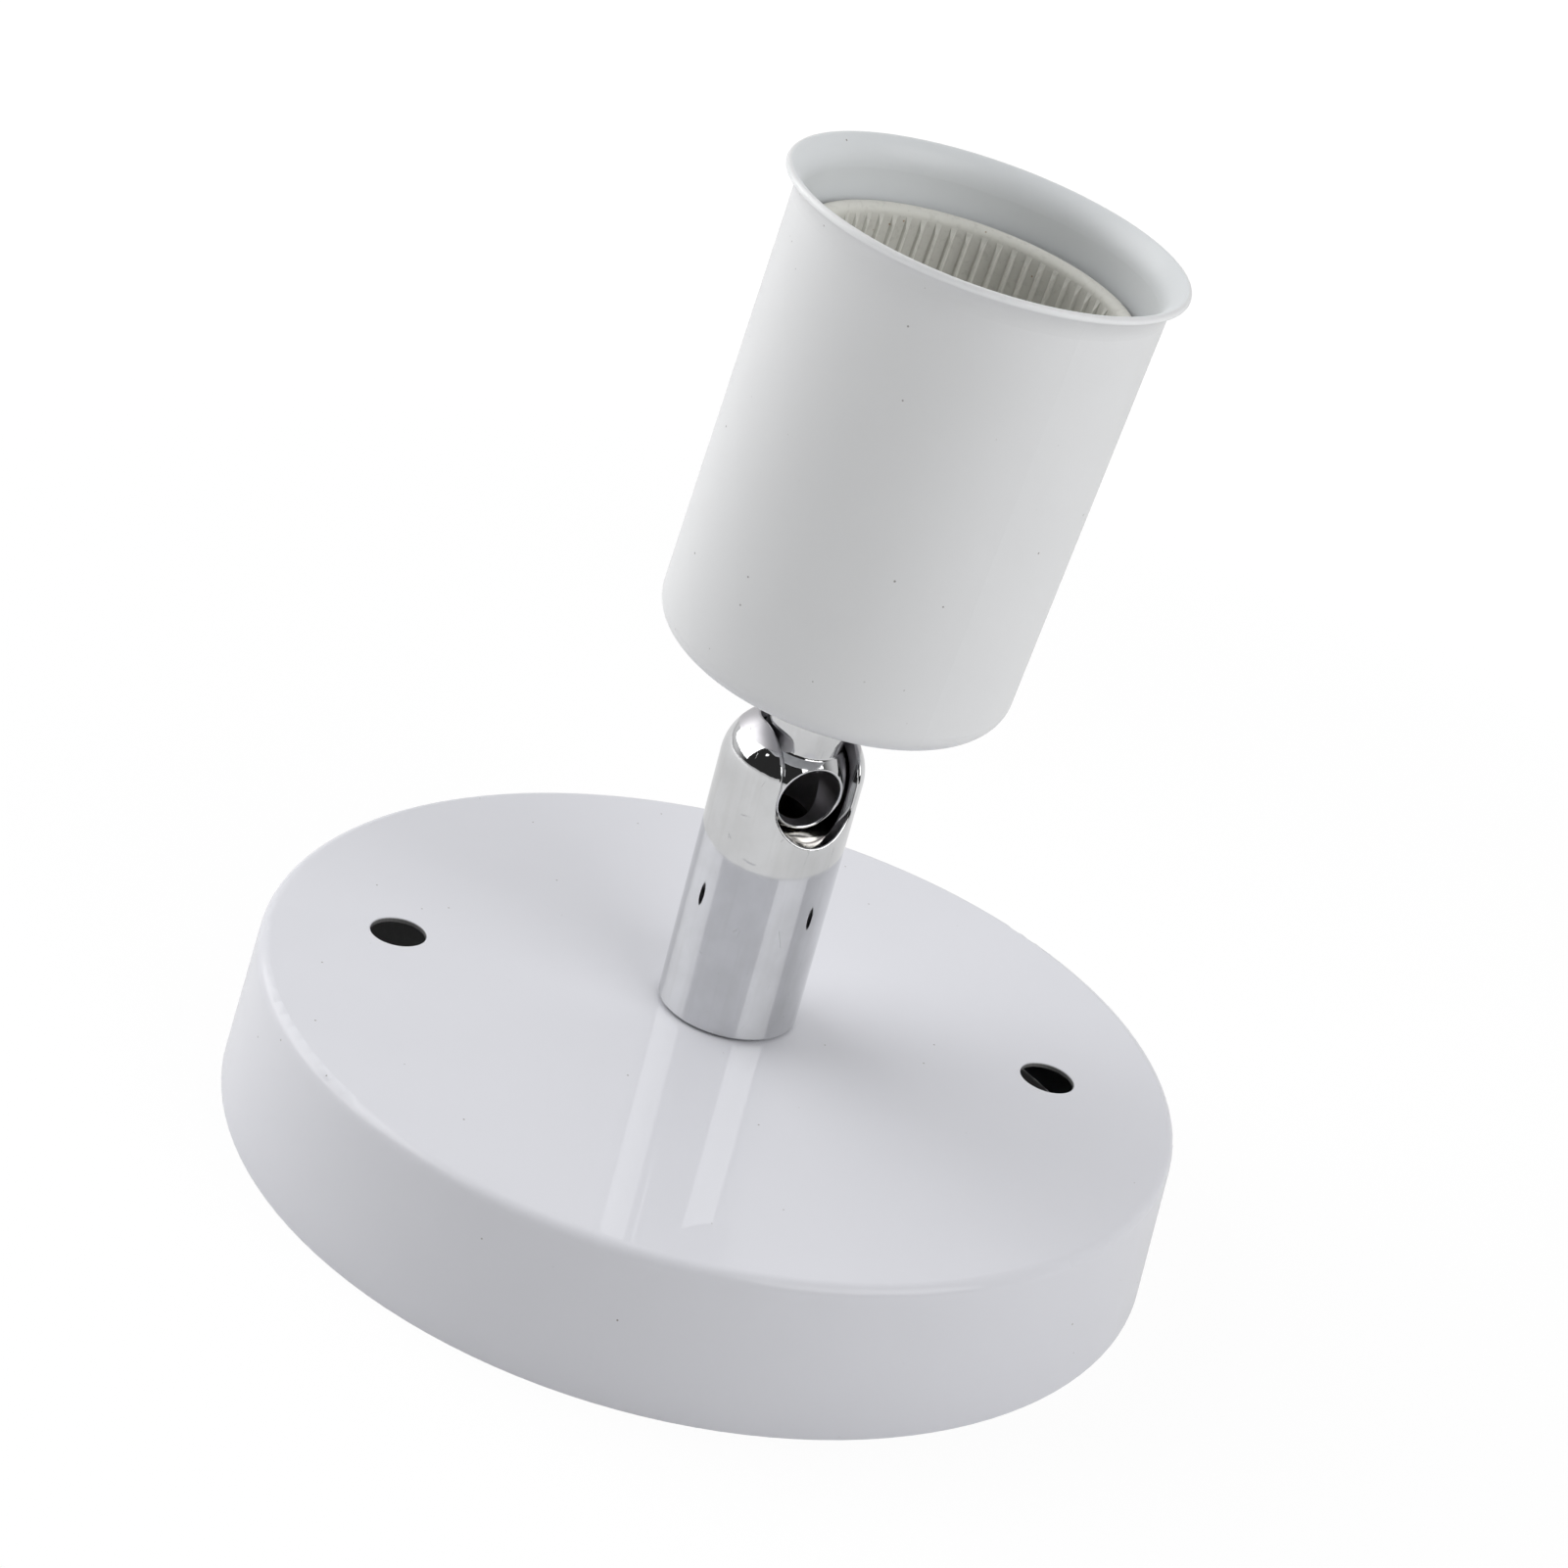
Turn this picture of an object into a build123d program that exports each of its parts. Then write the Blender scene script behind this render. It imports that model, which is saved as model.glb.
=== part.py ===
"""Swivel and tilt lamp holder: a round canopy, a slotted column, a ball neck and a cup with a screw socket.

Sizes are millimetres. The origin is the centre of the canopy's open rim, Z points up, and the two
mounting holes lie along X. The head stands in the attitude of the photograph.
"""

from build123d import *
from math import asin, cos, radians, sin, sqrt, tan
import os

# Fits shared by all pieces
running_fit = 0.05
joint_gap = 0.3
hole_clearance = 0.2

# Canopy, a pressed steel pan
canopy_rim_diameter = 120.0
canopy_top_diameter = 117.0
canopy_height = 19.2
canopy_sheet = 0.6
canopy_edge_radius = 1.4
canopy_rim_rounding = 0.3
mounting_hole_diameter = 7.0
mounting_hole_rounding = 0.25
mounting_hole_spacing = 84.0

# Lamp thread, M10 with a pitch of 1 mm, and what is screwed on it
thread_diameter = 10.0
nut_width = 14.0
nut_height = 4.0
thread_past_nut = 1.5
washer_thickness = 1.0
lock_washer_thickness = 0.9
lock_washer_diameter = 15.6
lock_washer_teeth = 10
lock_washer_tooth_depth = 1.3

# Ball, and the bore that it and the stud's flange stand in
ball_diameter = 14.2
bore_clearance = 0.3
column_bore_diameter = ball_diameter + 2 * bore_clearance

# Stud that the column turns on
stud_flange_diameter = column_bore_diameter - 2 * bore_clearance
stud_flange_reach = 1.2
stud_hub_diameter = stud_flange_diameter - 2 * stud_flange_reach
stud_flange_thickness = 1.4
stud_bore_diameter = 7.2
stud_chamfer = 0.6
canopy_washer_diameter = 22.0

# Stops that hold the swivel to less than a turn, one dog on the stud and one on the foot bush
dog_angle = 16.0
dog_height = 1.3

# Column, a turned and polished tube with a domed head and a slot down one side
column_wall = 1.5
column_diameter = column_bore_diameter + 2 * column_wall
ball_centre_above_canopy = 33.0
dome_start_above_canopy = 34.0
dome_radius = 7.0
slot_width = 10.5
slot_end_below_ball = 0.5
slot_edge_rounding = 0.25
slot_heading = -61.5
column_foot_rounding = 0.3

# Pieces inside the column
friction_washer_thickness = 0.5
bush_thickness = 3.2
seat_ring_bore_diameter = 10.4
seat_ring_height = 3.4
seat_ring_bevel = 0.3
spring_count = 4
spring_sheet = 0.5
spring_cone = 0.45
spring_bore_diameter = 9.4
spring_gap = 0.05
spring_nut_height = 3.2
spring_nut_bore_diameter = 8.6
spanner_slot_width = 2.0
spanner_slot_depth = 1.4

# Ball, neck and collar, turned in one piece
neck_diameter = 9.8
neck_fillet = 0.5
wire_hole_wall = 3.1
wire_hole_rounding = 0.25
wire_hole_diameter = ball_diameter - 2 * wire_hole_wall
neck_bore_diameter = 7.4
collar_diameter = 16.0
collar_height = 3.6
collar_chamfer = 0.5
cup_above_ball = 16.6
head_tilt = 7.5

# Cup, drawn steel with a lip that curls outwards
cup_length = 56.1
cup_bottom_diameter = 43.3
cup_draft = 0.15
cup_lip_radius = 3.0
cup_lip_angle = 65.0
cup_lip_rounding = 0.4
cup_bottom_radius = 3.0
cup_wall = 0.9
cup_washer_diameter = 20.0
cup_top_diameter = cup_bottom_diameter - 2 * cup_draft

# Bracket between the cup's stud and the porcelain
bracket_sheet = 1.0
bracket_width = 14.0
bracket_waist_width = 19.0
bracket_foot_length = 8.0
bracket_bend_radius = 1.6
bracket_screw_diameter = 3.0
bracket_screw_head_diameter = 5.5
bracket_screw_head_height = 2.1
bracket_screw_centre = 14.0
screw_slot_width = 0.7
screw_slot_depth = 0.9
square_nut_width = 5.5
square_nut_height = 2.0

# Porcelain insert, a loose fit in the cup
porcelain_gap = 1.2
porcelain_below_lip = 6.7
porcelain_bottom_above_ball = 28.5
skirt_wall = 1.55
skirt_depth = 15.0
skirt_mouth_rounding = 1.1
rib_count = 60
rib_height = 0.3
rib_crest_width = 0.25
rib_side_angle = 50.0
rib_end_slope = 4.0
porcelain_edge_rounding = 0.5
shell_ledge_to_floor = 15.0
nut_pocket_floor = 2.5
terminal_pocket_width = 8.6
terminal_pocket_height = 5.0
terminal_pocket_inner = 6.9
porcelain_diameter = cup_top_diameter - 2 * (cup_wall + porcelain_gap)
skirt_bore_diameter = porcelain_diameter - 2 * skirt_wall

# Screw shell for a 27 mm lamp cap
shell_bore_diameter = 26.6
shell_wall = 0.4
shell_foot_bore_diameter = 25.0
shell_shoulder_height = 4.0
shell_flange_diameter = 30.4
shell_floor_bore_diameter = 17.6
shell_bend_radius = 0.9

# Contact strips and terminals
strip_width = 6.0
strip_thickness = 0.5
strip_leg_centre = 7.6
strip_bend_radius = 0.8
tongue_rise = 4.0
tongue_flat_length = 3.2
tongue_foot_length = 6.0
shell_foot_length = 4.3
rivet_diameter = 2.4
rivet_head_diameter = 3.8
rivet_head_height = 0.8
tongue_rivet_centre = 5.0
shell_rivet_centre = 10.3
terminal_width = 8.0
terminal_depth = 6.5
terminal_height = 4.8
terminal_wire_hole_diameter = 3.0
terminal_screw_diameter = 3.0
terminal_screw_head_diameter = 4.6
terminal_screw_head_height = 1.8

# Frames: the column turns about Z, the head leans from it towards the slot
slot_direction = Vector(cos(radians(slot_heading)), sin(radians(slot_heading)), 0)
hinge_direction = Vector(0, 0, 1).cross(slot_direction)
neck_direction = slot_direction * sin(radians(head_tilt)) + Vector(0, 0, 1) * cos(radians(head_tilt))
ball_height = canopy_height + ball_centre_above_canopy
column_frame = Plane((0, 0, canopy_height), x_dir=slot_direction, z_dir=(0, 0, 1))
head_frame = Plane(
    (0, 0, ball_height), x_dir=hinge_direction.cross(neck_direction), z_dir=neck_direction
)
head_axis = Axis(head_frame.origin, head_frame.z_dir)


def section(frame):
    """The plane that cuts a frame lengthwise: its x is the frame's x and its y the frame's axis."""
    return Plane(frame.origin, x_dir=frame.x_dir, z_dir=-frame.y_dir)


def cross_section(frame):
    """The lengthwise plane across the first one: its x is the frame's y, its y the frame's axis."""
    return Plane(frame.origin, x_dir=frame.y_dir, z_dir=frame.x_dir)


def circles(piece, diameter, axis):
    """The round edges of this diameter, in their order along the axis."""
    edges = piece.edges().filter_by(GeomType.CIRCLE)
    return edges.filter_by(lambda edge: abs(2 * edge.radius - diameter) < 0.001).sort_by(axis)


def save(piece, name):
    piece.label = name
    export_step(piece, f"parts/{name}.step")


def flat_washer(frame, height, diameter):
    """A plain washer on the lamp thread, lying with its lower face at this height of the frame."""
    with BuildPart() as washer:
        with BuildSketch(frame.offset(height)):
            Circle(diameter / 2)
            Circle(thread_diameter / 2 + hole_clearance, mode=Mode.SUBTRACT)
        extrude(amount=washer_thickness)
    return washer.part


def lock_washer(frame, height):
    """A washer with teeth cut round its outside, so that the nut stays tight."""
    with BuildPart() as washer:
        with BuildSketch(frame.offset(height)):
            Circle(lock_washer_diameter / 2)
            Circle(thread_diameter / 2 + hole_clearance, mode=Mode.SUBTRACT)
            with PolarLocations(lock_washer_diameter / 2, lock_washer_teeth):
                Rectangle(2 * lock_washer_tooth_depth, lock_washer_tooth_depth, mode=Mode.SUBTRACT)
        extrude(amount=lock_washer_thickness)
    return washer.part


def lamp_nut(frame, height):
    """A thin hexagon nut on the lamp thread, with its corners turned off on both faces."""
    corner_chamfer = nut_width / 14
    with BuildPart() as nut:
        with BuildSketch(frame.offset(height)):
            RegularPolygon(nut_width / 2, 6, major_radius=False)
        extrude(amount=nut_height)
        with BuildSketch(section(frame)):
            with BuildLine():
                Polyline(
                    (0, height),
                    (nut_width / 2, height),
                    (nut_width / 2 + corner_chamfer, height + corner_chamfer / 2),
                    (nut_width / 2 + corner_chamfer, height + nut_height - corner_chamfer / 2),
                    (nut_width / 2, height + nut_height),
                    (0, height + nut_height),
                    close=True,
                )
            make_face()
        revolve(axis=Axis(frame.origin, frame.z_dir), mode=Mode.INTERSECT)
        with BuildSketch(frame.offset(height)):
            Circle(thread_diameter / 2 + running_fit)
        extrude(amount=nut_height, mode=Mode.SUBTRACT)
    return nut.part


os.makedirs("parts", exist_ok=True)

# Canopy: a drafted pan with a soft top edge, open below, with two screw holes and the stud's hole
with BuildPart() as canopy:
    with BuildSketch(Plane.XZ):
        with BuildLine():
            Polyline(
                (0, 0),
                (canopy_rim_diameter / 2, 0),
                (canopy_top_diameter / 2, canopy_height),
                (0, canopy_height),
                close=True,
            )
        make_face()
    revolve(axis=Axis.Z)
    fillet(canopy.edges().sort_by(Axis.Z)[-1], canopy_edge_radius)
    offset(amount=-canopy_sheet, openings=canopy.faces().sort_by(Axis.Z)[0])
    fillet(canopy.faces().sort_by(Axis.Z)[0].edges().sort_by(SortBy.RADIUS)[0], canopy_rim_rounding)
    with BuildSketch(Plane.XY.offset(canopy_height)):
        Circle(thread_diameter / 2 + hole_clearance)
        with GridLocations(mounting_hole_spacing, 0, 2, 1):
            Circle(mounting_hole_diameter / 2)
    extrude(amount=-2 * canopy_sheet, mode=Mode.SUBTRACT)
    fillet(circles(canopy, mounting_hole_diameter, Axis.Z)[-2:], mounting_hole_rounding)
save(canopy.part, "canopy")

# What clamps the stud from inside the canopy, from the sheet downwards
canopy_washer_height = canopy_height - canopy_sheet - washer_thickness
canopy_lock_washer_height = canopy_washer_height - lock_washer_thickness
canopy_nut_height = canopy_lock_washer_height - nut_height
stud_end_height = canopy_nut_height - thread_past_nut

save(flat_washer(Plane.XY, canopy_washer_height, canopy_washer_diameter), "canopy_washer")
save(lock_washer(Plane.XY, canopy_lock_washer_height), "canopy_lock_washer")
save(lamp_nut(Plane.XY, canopy_nut_height), "canopy_nut")

# Heights inside the column, above the canopy
friction_washer_height = joint_gap
bush_height = friction_washer_height + friction_washer_thickness
bush_top = bush_height + bush_thickness
flange_height = bush_top + dog_height + joint_gap

# Stud: hollow thread, hub and flange in one piece, with a dog under the flange
with BuildPart() as pivot_stud:
    with BuildSketch(section(column_frame)):
        with BuildLine():
            Polyline(
                (stud_bore_diameter / 2, stud_end_height - canopy_height),
                (thread_diameter / 2, stud_end_height - canopy_height),
                (thread_diameter / 2, 0),
                (stud_hub_diameter / 2, 0),
                (stud_hub_diameter / 2, flange_height),
                (stud_flange_diameter / 2, flange_height),
                (stud_flange_diameter / 2, flange_height + stud_flange_thickness),
                (stud_bore_diameter / 2, flange_height + stud_flange_thickness),
                close=True,
            )
        make_face()
    revolve(axis=Axis.Z)
    chamfer(circles(pivot_stud, thread_diameter, Axis.Z)[0], stud_chamfer)
    for turn in (dog_angle / 2, -dog_angle / 2):
        with BuildSketch(section(column_frame)):
            with BuildLine():
                Polyline(
                    (-stud_hub_diameter / 2 + joint_gap, flange_height),
                    (-stud_flange_diameter / 2, flange_height),
                    (-stud_flange_diameter / 2, flange_height - dog_height),
                    (-stud_hub_diameter / 2 + joint_gap, flange_height - dog_height),
                    close=True,
                )
            make_face()
        revolve(axis=Axis.Z, revolution_arc=turn)
save(pivot_stud.part, "pivot_stud")

# Column: tube, dome and seat for the ball from one profile, then the slot down the side
ball_seat_radius = column_bore_diameter / 2
opening_radius = slot_width / 2
slot_end = ball_centre_above_canopy - slot_end_below_ball
slot_reach = dome_start_above_canopy + dome_radius - slot_end
dome_centre = (column_diameter / 2 - dome_radius, dome_start_above_canopy)
dome_rise = sqrt(dome_radius**2 - (opening_radius - dome_centre[0]) ** 2)
dome_middle_angle = asin(dome_rise / dome_radius) / 2
dome_middle = (
    dome_centre[0] + dome_radius * cos(dome_middle_angle),
    dome_centre[1] + dome_radius * sin(dome_middle_angle),
)
seat_rise = sqrt(ball_seat_radius**2 - opening_radius**2)
seat_middle_angle = asin(seat_rise / ball_seat_radius) / 2
seat_middle = (
    ball_seat_radius * cos(seat_middle_angle),
    ball_centre_above_canopy + ball_seat_radius * sin(seat_middle_angle),
)


def borders_slot(edge):
    """Whether an edge lies in the column's skin, round the slot and the opening above the ball."""
    middle = column_frame.to_local_coords(edge @ 0.5)
    if middle.Z > dome_centre[1]:
        skin = dome_centre[0] + sqrt(max(dome_radius**2 - (middle.Z - dome_centre[1]) ** 2, 0))
    else:
        skin = column_diameter / 2
    in_skin = abs(Vector(middle.X, middle.Y).length - skin) < 0.001
    smooth_seam = abs(middle.Z - dome_centre[1]) < 0.001
    return in_skin and not smooth_seam and middle.Z > slot_end - slot_width


with BuildPart() as swivel_column:
    with BuildSketch(section(column_frame)):
        with BuildLine():
            Polyline(
                (column_bore_diameter / 2, ball_centre_above_canopy),
                (column_bore_diameter / 2, joint_gap),
                (column_diameter / 2, joint_gap),
                (column_diameter / 2, dome_start_above_canopy),
            )
            ThreePointArc(
                (column_diameter / 2, dome_start_above_canopy),
                dome_middle,
                (opening_radius, dome_start_above_canopy + dome_rise),
            )
            Line(
                (opening_radius, dome_start_above_canopy + dome_rise),
                (opening_radius, ball_centre_above_canopy + seat_rise),
            )
            ThreePointArc(
                (opening_radius, ball_centre_above_canopy + seat_rise),
                seat_middle,
                (column_bore_diameter / 2, ball_centre_above_canopy),
            )
        make_face()
    revolve(axis=Axis.Z)
    fillet(
        swivel_column.faces().sort_by(Axis.Z)[0].edges().sort_by(SortBy.RADIUS)[-1],
        column_foot_rounding,
    )
    with BuildSketch(cross_section(column_frame)):
        with Locations((0, slot_end)):
            Circle(slot_width / 2)
            Rectangle(slot_width, slot_reach, align=(Align.CENTER, Align.MIN))
    extrude(amount=column_diameter, mode=Mode.SUBTRACT)
    fillet(swivel_column.edges().filter_by(borders_slot), slot_edge_rounding)
save(swivel_column.part, "swivel_column")

# Foot bush: closes the column, turns on the stud's hub, and carries the other dog
with BuildPart() as foot_bush:
    with BuildSketch(column_frame.offset(bush_height)):
        Circle(column_bore_diameter / 2 - running_fit)
        Circle(stud_hub_diameter / 2 + running_fit, mode=Mode.SUBTRACT)
    extrude(amount=bush_thickness)
    for turn in (dog_angle / 2, -dog_angle / 2):
        with BuildSketch(section(column_frame)):
            with BuildLine():
                Polyline(
                    (stud_hub_diameter / 2 + hole_clearance, bush_top),
                    (column_bore_diameter / 2 - running_fit, bush_top),
                    (column_bore_diameter / 2 - running_fit, bush_top + dog_height),
                    (stud_hub_diameter / 2 + hole_clearance, bush_top + dog_height),
                    close=True,
                )
            make_face()
        revolve(axis=Axis.Z, revolution_arc=turn)
save(foot_bush.part, "foot_bush")

# Friction washer: fibre, under the bush, rubs on the canopy
with BuildPart() as friction_washer:
    with BuildSketch(column_frame.offset(friction_washer_height)):
        Circle(column_bore_diameter / 2 - running_fit)
        Circle(stud_hub_diameter / 2 + running_fit, mode=Mode.SUBTRACT)
    extrude(amount=friction_washer_thickness)
save(friction_washer.part, "friction_washer")

# Seat ring: carries the ball on its inner edge
seat_contact_radius = ball_diameter / 2 + joint_gap
seat_edge = ball_centre_above_canopy - sqrt(
    seat_contact_radius**2 - (seat_ring_bore_diameter / 2) ** 2
)
seat_ring_bottom = seat_edge - seat_ring_height
with BuildPart() as seat_ring:
    with BuildSketch(section(column_frame)):
        with BuildLine():
            Polyline(
                (seat_ring_bore_diameter / 2, seat_ring_bottom),
                (column_bore_diameter / 2 - running_fit, seat_ring_bottom),
                (column_bore_diameter / 2 - running_fit, seat_edge + seat_ring_bevel),
                (seat_ring_bore_diameter / 2, seat_edge),
                close=True,
            )
        make_face()
    revolve(axis=Axis.Z)
save(seat_ring.part, "seat_ring")

# Disc springs: a stack of coned washers, back to back, that presses the seat ring up
spring_pitch = spring_sheet + spring_cone + spring_gap
with BuildPart() as disc_springs:
    for place in range(spring_count):
        top = seat_ring_bottom - spring_gap - place * spring_pitch
        inner_drop, outer_drop = (spring_cone, 0) if place % 2 else (0, spring_cone)
        with BuildSketch(section(column_frame)):
            with BuildLine():
                Polyline(
                    (spring_bore_diameter / 2, top - inner_drop),
                    (column_bore_diameter / 2 - hole_clearance, top - outer_drop),
                    (column_bore_diameter / 2 - hole_clearance, top - outer_drop - spring_sheet),
                    (spring_bore_diameter / 2, top - inner_drop - spring_sheet),
                    close=True,
                )
            make_face()
        revolve(axis=Axis.Z)
save(disc_springs.part, "disc_springs")

# Spring nut: screwed into the bore from below, with two slots for a spanner
spring_nut_top = seat_ring_bottom - spring_gap - spring_count * spring_pitch
spring_nut_bottom = spring_nut_top - spring_nut_height
with BuildPart() as spring_nut:
    with BuildSketch(column_frame.offset(spring_nut_bottom)):
        Circle(column_bore_diameter / 2 - running_fit)
        Circle(spring_nut_bore_diameter / 2, mode=Mode.SUBTRACT)
    extrude(amount=spring_nut_height)
    with BuildSketch(column_frame.offset(spring_nut_bottom)):
        Rectangle(column_bore_diameter, spanner_slot_width)
    extrude(amount=spanner_slot_depth, mode=Mode.SUBTRACT)
save(spring_nut.part, "spring_nut")

# Heights in the head, along the neck from the ball's centre
cup_floor = cup_above_ball + cup_wall
bracket_floor = cup_floor + washer_thickness
cup_lock_washer_height = bracket_floor + bracket_sheet
cup_nut_height = cup_lock_washer_height + lock_washer_thickness
neck_end = cup_nut_height + nut_height + thread_past_nut

# Ball, neck, collar and thread in one piece, bored for the leads with a way out at the side and below
neck_foot = sqrt((ball_diameter / 2) ** 2 - (neck_diameter / 2) ** 2)
wire_hole_rim = sqrt((ball_diameter / 2) ** 2 - (wire_hole_diameter / 2) ** 2)


def borders_wire_hole(edge):
    """Whether an edge lies in the ball's skin, round the side hole or the lower one."""
    middle = head_frame.to_local_coords(edge @ 0.5)
    in_skin = abs(middle.length - ball_diameter / 2) < 0.01
    return in_skin and abs(max(middle.X, -middle.Z) - wire_hole_rim) < 0.01


with BuildPart() as swivel_ball:
    with BuildSketch(section(head_frame)):
        with BuildLine():
            ball_bottom = (0, -ball_diameter / 2)
            ball_equator = (ball_diameter / 2, 0)
            neck_corner = (neck_diameter / 2, neck_foot)
            ThreePointArc(ball_bottom, ball_equator, neck_corner)
            Polyline(
                neck_corner,
                (neck_diameter / 2, cup_above_ball - collar_height),
                (collar_diameter / 2, cup_above_ball - collar_height),
                (collar_diameter / 2, cup_above_ball),
                (thread_diameter / 2, cup_above_ball),
                (thread_diameter / 2, neck_end),
                (0, neck_end),
                ball_bottom,
            )
        make_face()
    revolve(axis=head_axis)
    fillet(circles(swivel_ball, neck_diameter, head_axis)[0], neck_fillet)
    chamfer(circles(swivel_ball, collar_diameter, head_axis), collar_chamfer)
    chamfer(circles(swivel_ball, thread_diameter, head_axis)[-1], stud_chamfer)
    with BuildSketch(head_frame):
        Circle(neck_bore_diameter / 2)
    extrude(amount=neck_end, mode=Mode.SUBTRACT)
    with BuildSketch(head_frame):
        Circle(wire_hole_diameter / 2)
    extrude(amount=-ball_diameter, mode=Mode.SUBTRACT)
    with BuildSketch(cross_section(head_frame)):
        Circle(wire_hole_diameter / 2)
    extrude(amount=ball_diameter, mode=Mode.SUBTRACT)
    fillet(swivel_ball.edges().filter_by(borders_wire_hole), wire_hole_rounding)
save(swivel_ball.part, "swivel_ball")

# Cup: one drawn sheet, with a round bottom corner, a slight draft and a lip that curls outwards
cup_top = cup_above_ball + cup_length
lip_start = cup_top - (cup_lip_radius + cup_wall) * sin(radians(cup_lip_angle))
with BuildPart() as cup:
    with BuildSketch(section(head_frame)):
        with BuildLine():
            bottom_line = Line(
                (thread_diameter / 2 + hole_clearance, cup_above_ball),
                (cup_bottom_diameter / 2 - cup_bottom_radius, cup_above_ball),
            )
            corner = JernArc(bottom_line @ 1, bottom_line % 1, cup_bottom_radius, 90)
            side_line = Line(corner @ 1, (cup_top_diameter / 2, lip_start))
            JernArc(side_line @ 1, side_line % 1, cup_lip_radius, -cup_lip_angle)
            offset(amount=cup_wall, side=Side.LEFT)
        make_face()
    revolve(axis=head_axis)
    lip_edges = cup.edges().filter_by(GeomType.CIRCLE).sort_by(SortBy.RADIUS)[-2:]
    fillet(lip_edges, cup_lip_rounding)
save(cup.part, "cup")

save(flat_washer(head_frame, cup_floor, cup_washer_diameter), "cup_washer")
save(lock_washer(head_frame, cup_lock_washer_height), "cup_lock_washer")
save(lamp_nut(head_frame, cup_nut_height), "cup_nut")

# Bracket: a bent strap, clamped by the cup's nut, whose two feet carry the porcelain
foot_underside = porcelain_bottom_above_ball - bracket_sheet
foot_end = bracket_waist_width / 2 + bracket_foot_length
with BuildPart() as lamp_bracket:
    with BuildSketch(section(head_frame)):
        with BuildLine():
            FilletPolyline(
                (-foot_end, foot_underside),
                (-bracket_waist_width / 2, foot_underside),
                (-bracket_waist_width / 2, bracket_floor),
                (bracket_waist_width / 2, bracket_floor),
                (bracket_waist_width / 2, foot_underside),
                (foot_end, foot_underside),
                radius=bracket_bend_radius,
            )
            offset(amount=bracket_sheet, side=Side.LEFT)
        make_face()
    extrude(amount=bracket_width / 2, both=True)
    with BuildSketch(head_frame.offset(bracket_floor)):
        Circle(thread_diameter / 2 + hole_clearance)
    extrude(amount=bracket_sheet, mode=Mode.SUBTRACT)
    with BuildSketch(head_frame.offset(foot_underside)):
        with GridLocations(2 * bracket_screw_centre, 0, 2, 1):
            Circle(bracket_screw_diameter / 2 + hole_clearance)
    extrude(amount=bracket_sheet, mode=Mode.SUBTRACT)
save(lamp_bracket.part, "lamp_bracket")

# Bracket screws: slotted, from below through the feet into square nuts in the porcelain's pockets
nut_pocket_height = porcelain_bottom_above_ball + nut_pocket_floor
screw_end = nut_pocket_height + square_nut_height
with BuildPart() as bracket_screws:
    with BuildSketch(head_frame.offset(foot_underside - bracket_screw_head_height)):
        with GridLocations(2 * bracket_screw_centre, 0, 2, 1):
            Circle(bracket_screw_head_diameter / 2)
    extrude(amount=bracket_screw_head_height)
    with BuildSketch(head_frame.offset(foot_underside)):
        with GridLocations(2 * bracket_screw_centre, 0, 2, 1):
            Circle(bracket_screw_diameter / 2)
    extrude(amount=screw_end - foot_underside)
    with BuildSketch(head_frame.offset(foot_underside - bracket_screw_head_height)):
        with GridLocations(2 * bracket_screw_centre, 0, 2, 1):
            Rectangle(bracket_screw_head_diameter, screw_slot_width)
    extrude(amount=screw_slot_depth, mode=Mode.SUBTRACT)
save(bracket_screws.part, "bracket_screws")

with BuildPart() as bracket_nuts:
    with BuildSketch(head_frame.offset(nut_pocket_height)):
        with GridLocations(2 * bracket_screw_centre, 0, 2, 1):
            Rectangle(square_nut_width, square_nut_width)
            Circle(bracket_screw_diameter / 2 + running_fit, mode=Mode.SUBTRACT)
    extrude(amount=square_nut_height)
save(bracket_nuts.part, "bracket_nuts")

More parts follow.
